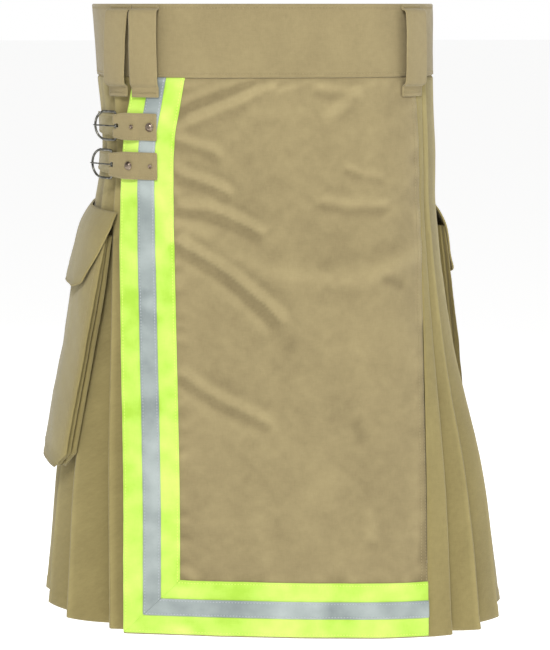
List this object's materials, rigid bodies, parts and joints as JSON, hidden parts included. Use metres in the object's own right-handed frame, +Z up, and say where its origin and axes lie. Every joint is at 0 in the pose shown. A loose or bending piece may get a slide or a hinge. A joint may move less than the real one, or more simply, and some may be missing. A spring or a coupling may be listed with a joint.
{
  "type": "utility kilt",
  "caption": "Pleated khaki canvas wrap kilt held in its worn, hollow form, with a flat front apron edged in yellow and silver tape, side pockets, belt loops and strap buckles.",
  "frame": {"origin": "the middle of the open waist, half-way up the waistband, where the wearer's waist holds the kilt", "axes": "+Z up, -Y out of the front apron, +X towards the wearer's left"},
  "size_m": [0.4703, 0.3311, 0.6162],
  "materials": {
    "khaki_canvas": "plain-woven heavy cotton canvas, matt, tonal stitching",
    "yellow_tape": "fluorescent yellow-green woven tape, slightly puckered",
    "silver_tape": "grey reflective strip, fine glass-bead sheen",
    "dark_steel": "aged dark steel wire, part polished",
    "antique_nickel": "aged nickel, warm and satin"
  },
  "bodies": {
    "root": {"waistband": "khaki_canvas", "over_apron": "khaki_canvas", "under_apron": "khaki_canvas", "pleats_left": "khaki_canvas", "pleats_right": "khaki_canvas", "belt_loop_front_right": "khaki_canvas", "belt_loop_side_right": "khaki_canvas", "belt_loop_front_left": "khaki_canvas", "belt_loop_back_right": "khaki_canvas", "belt_loop_back_left": "khaki_canvas", "belt_loop_back": "khaki_canvas", "pocket_right": "khaki_canvas", "pocket_left": "khaki_canvas", "flap_right": "khaki_canvas", "flap_left": "khaki_canvas", "strap_upper": "khaki_canvas", "strap_lower": "khaki_canvas", "tab_upper": "khaki_canvas", "tab_lower": "khaki_canvas", "tape_edge": "yellow_tape", "tape_hem": "yellow_tape", "silver_edge": "silver_tape", "silver_hem": "silver_tape", "ring_upper": "dark_steel", "ring_lower": "dark_steel", "prong_upper": "dark_steel", "prong_lower": "dark_steel", "rivet_upper": "antique_nickel", "rivet_lower": "antique_nickel", "eyelet_upper": "antique_nickel", "eyelet_lower": "antique_nickel"}
  },
  "joints": []
}
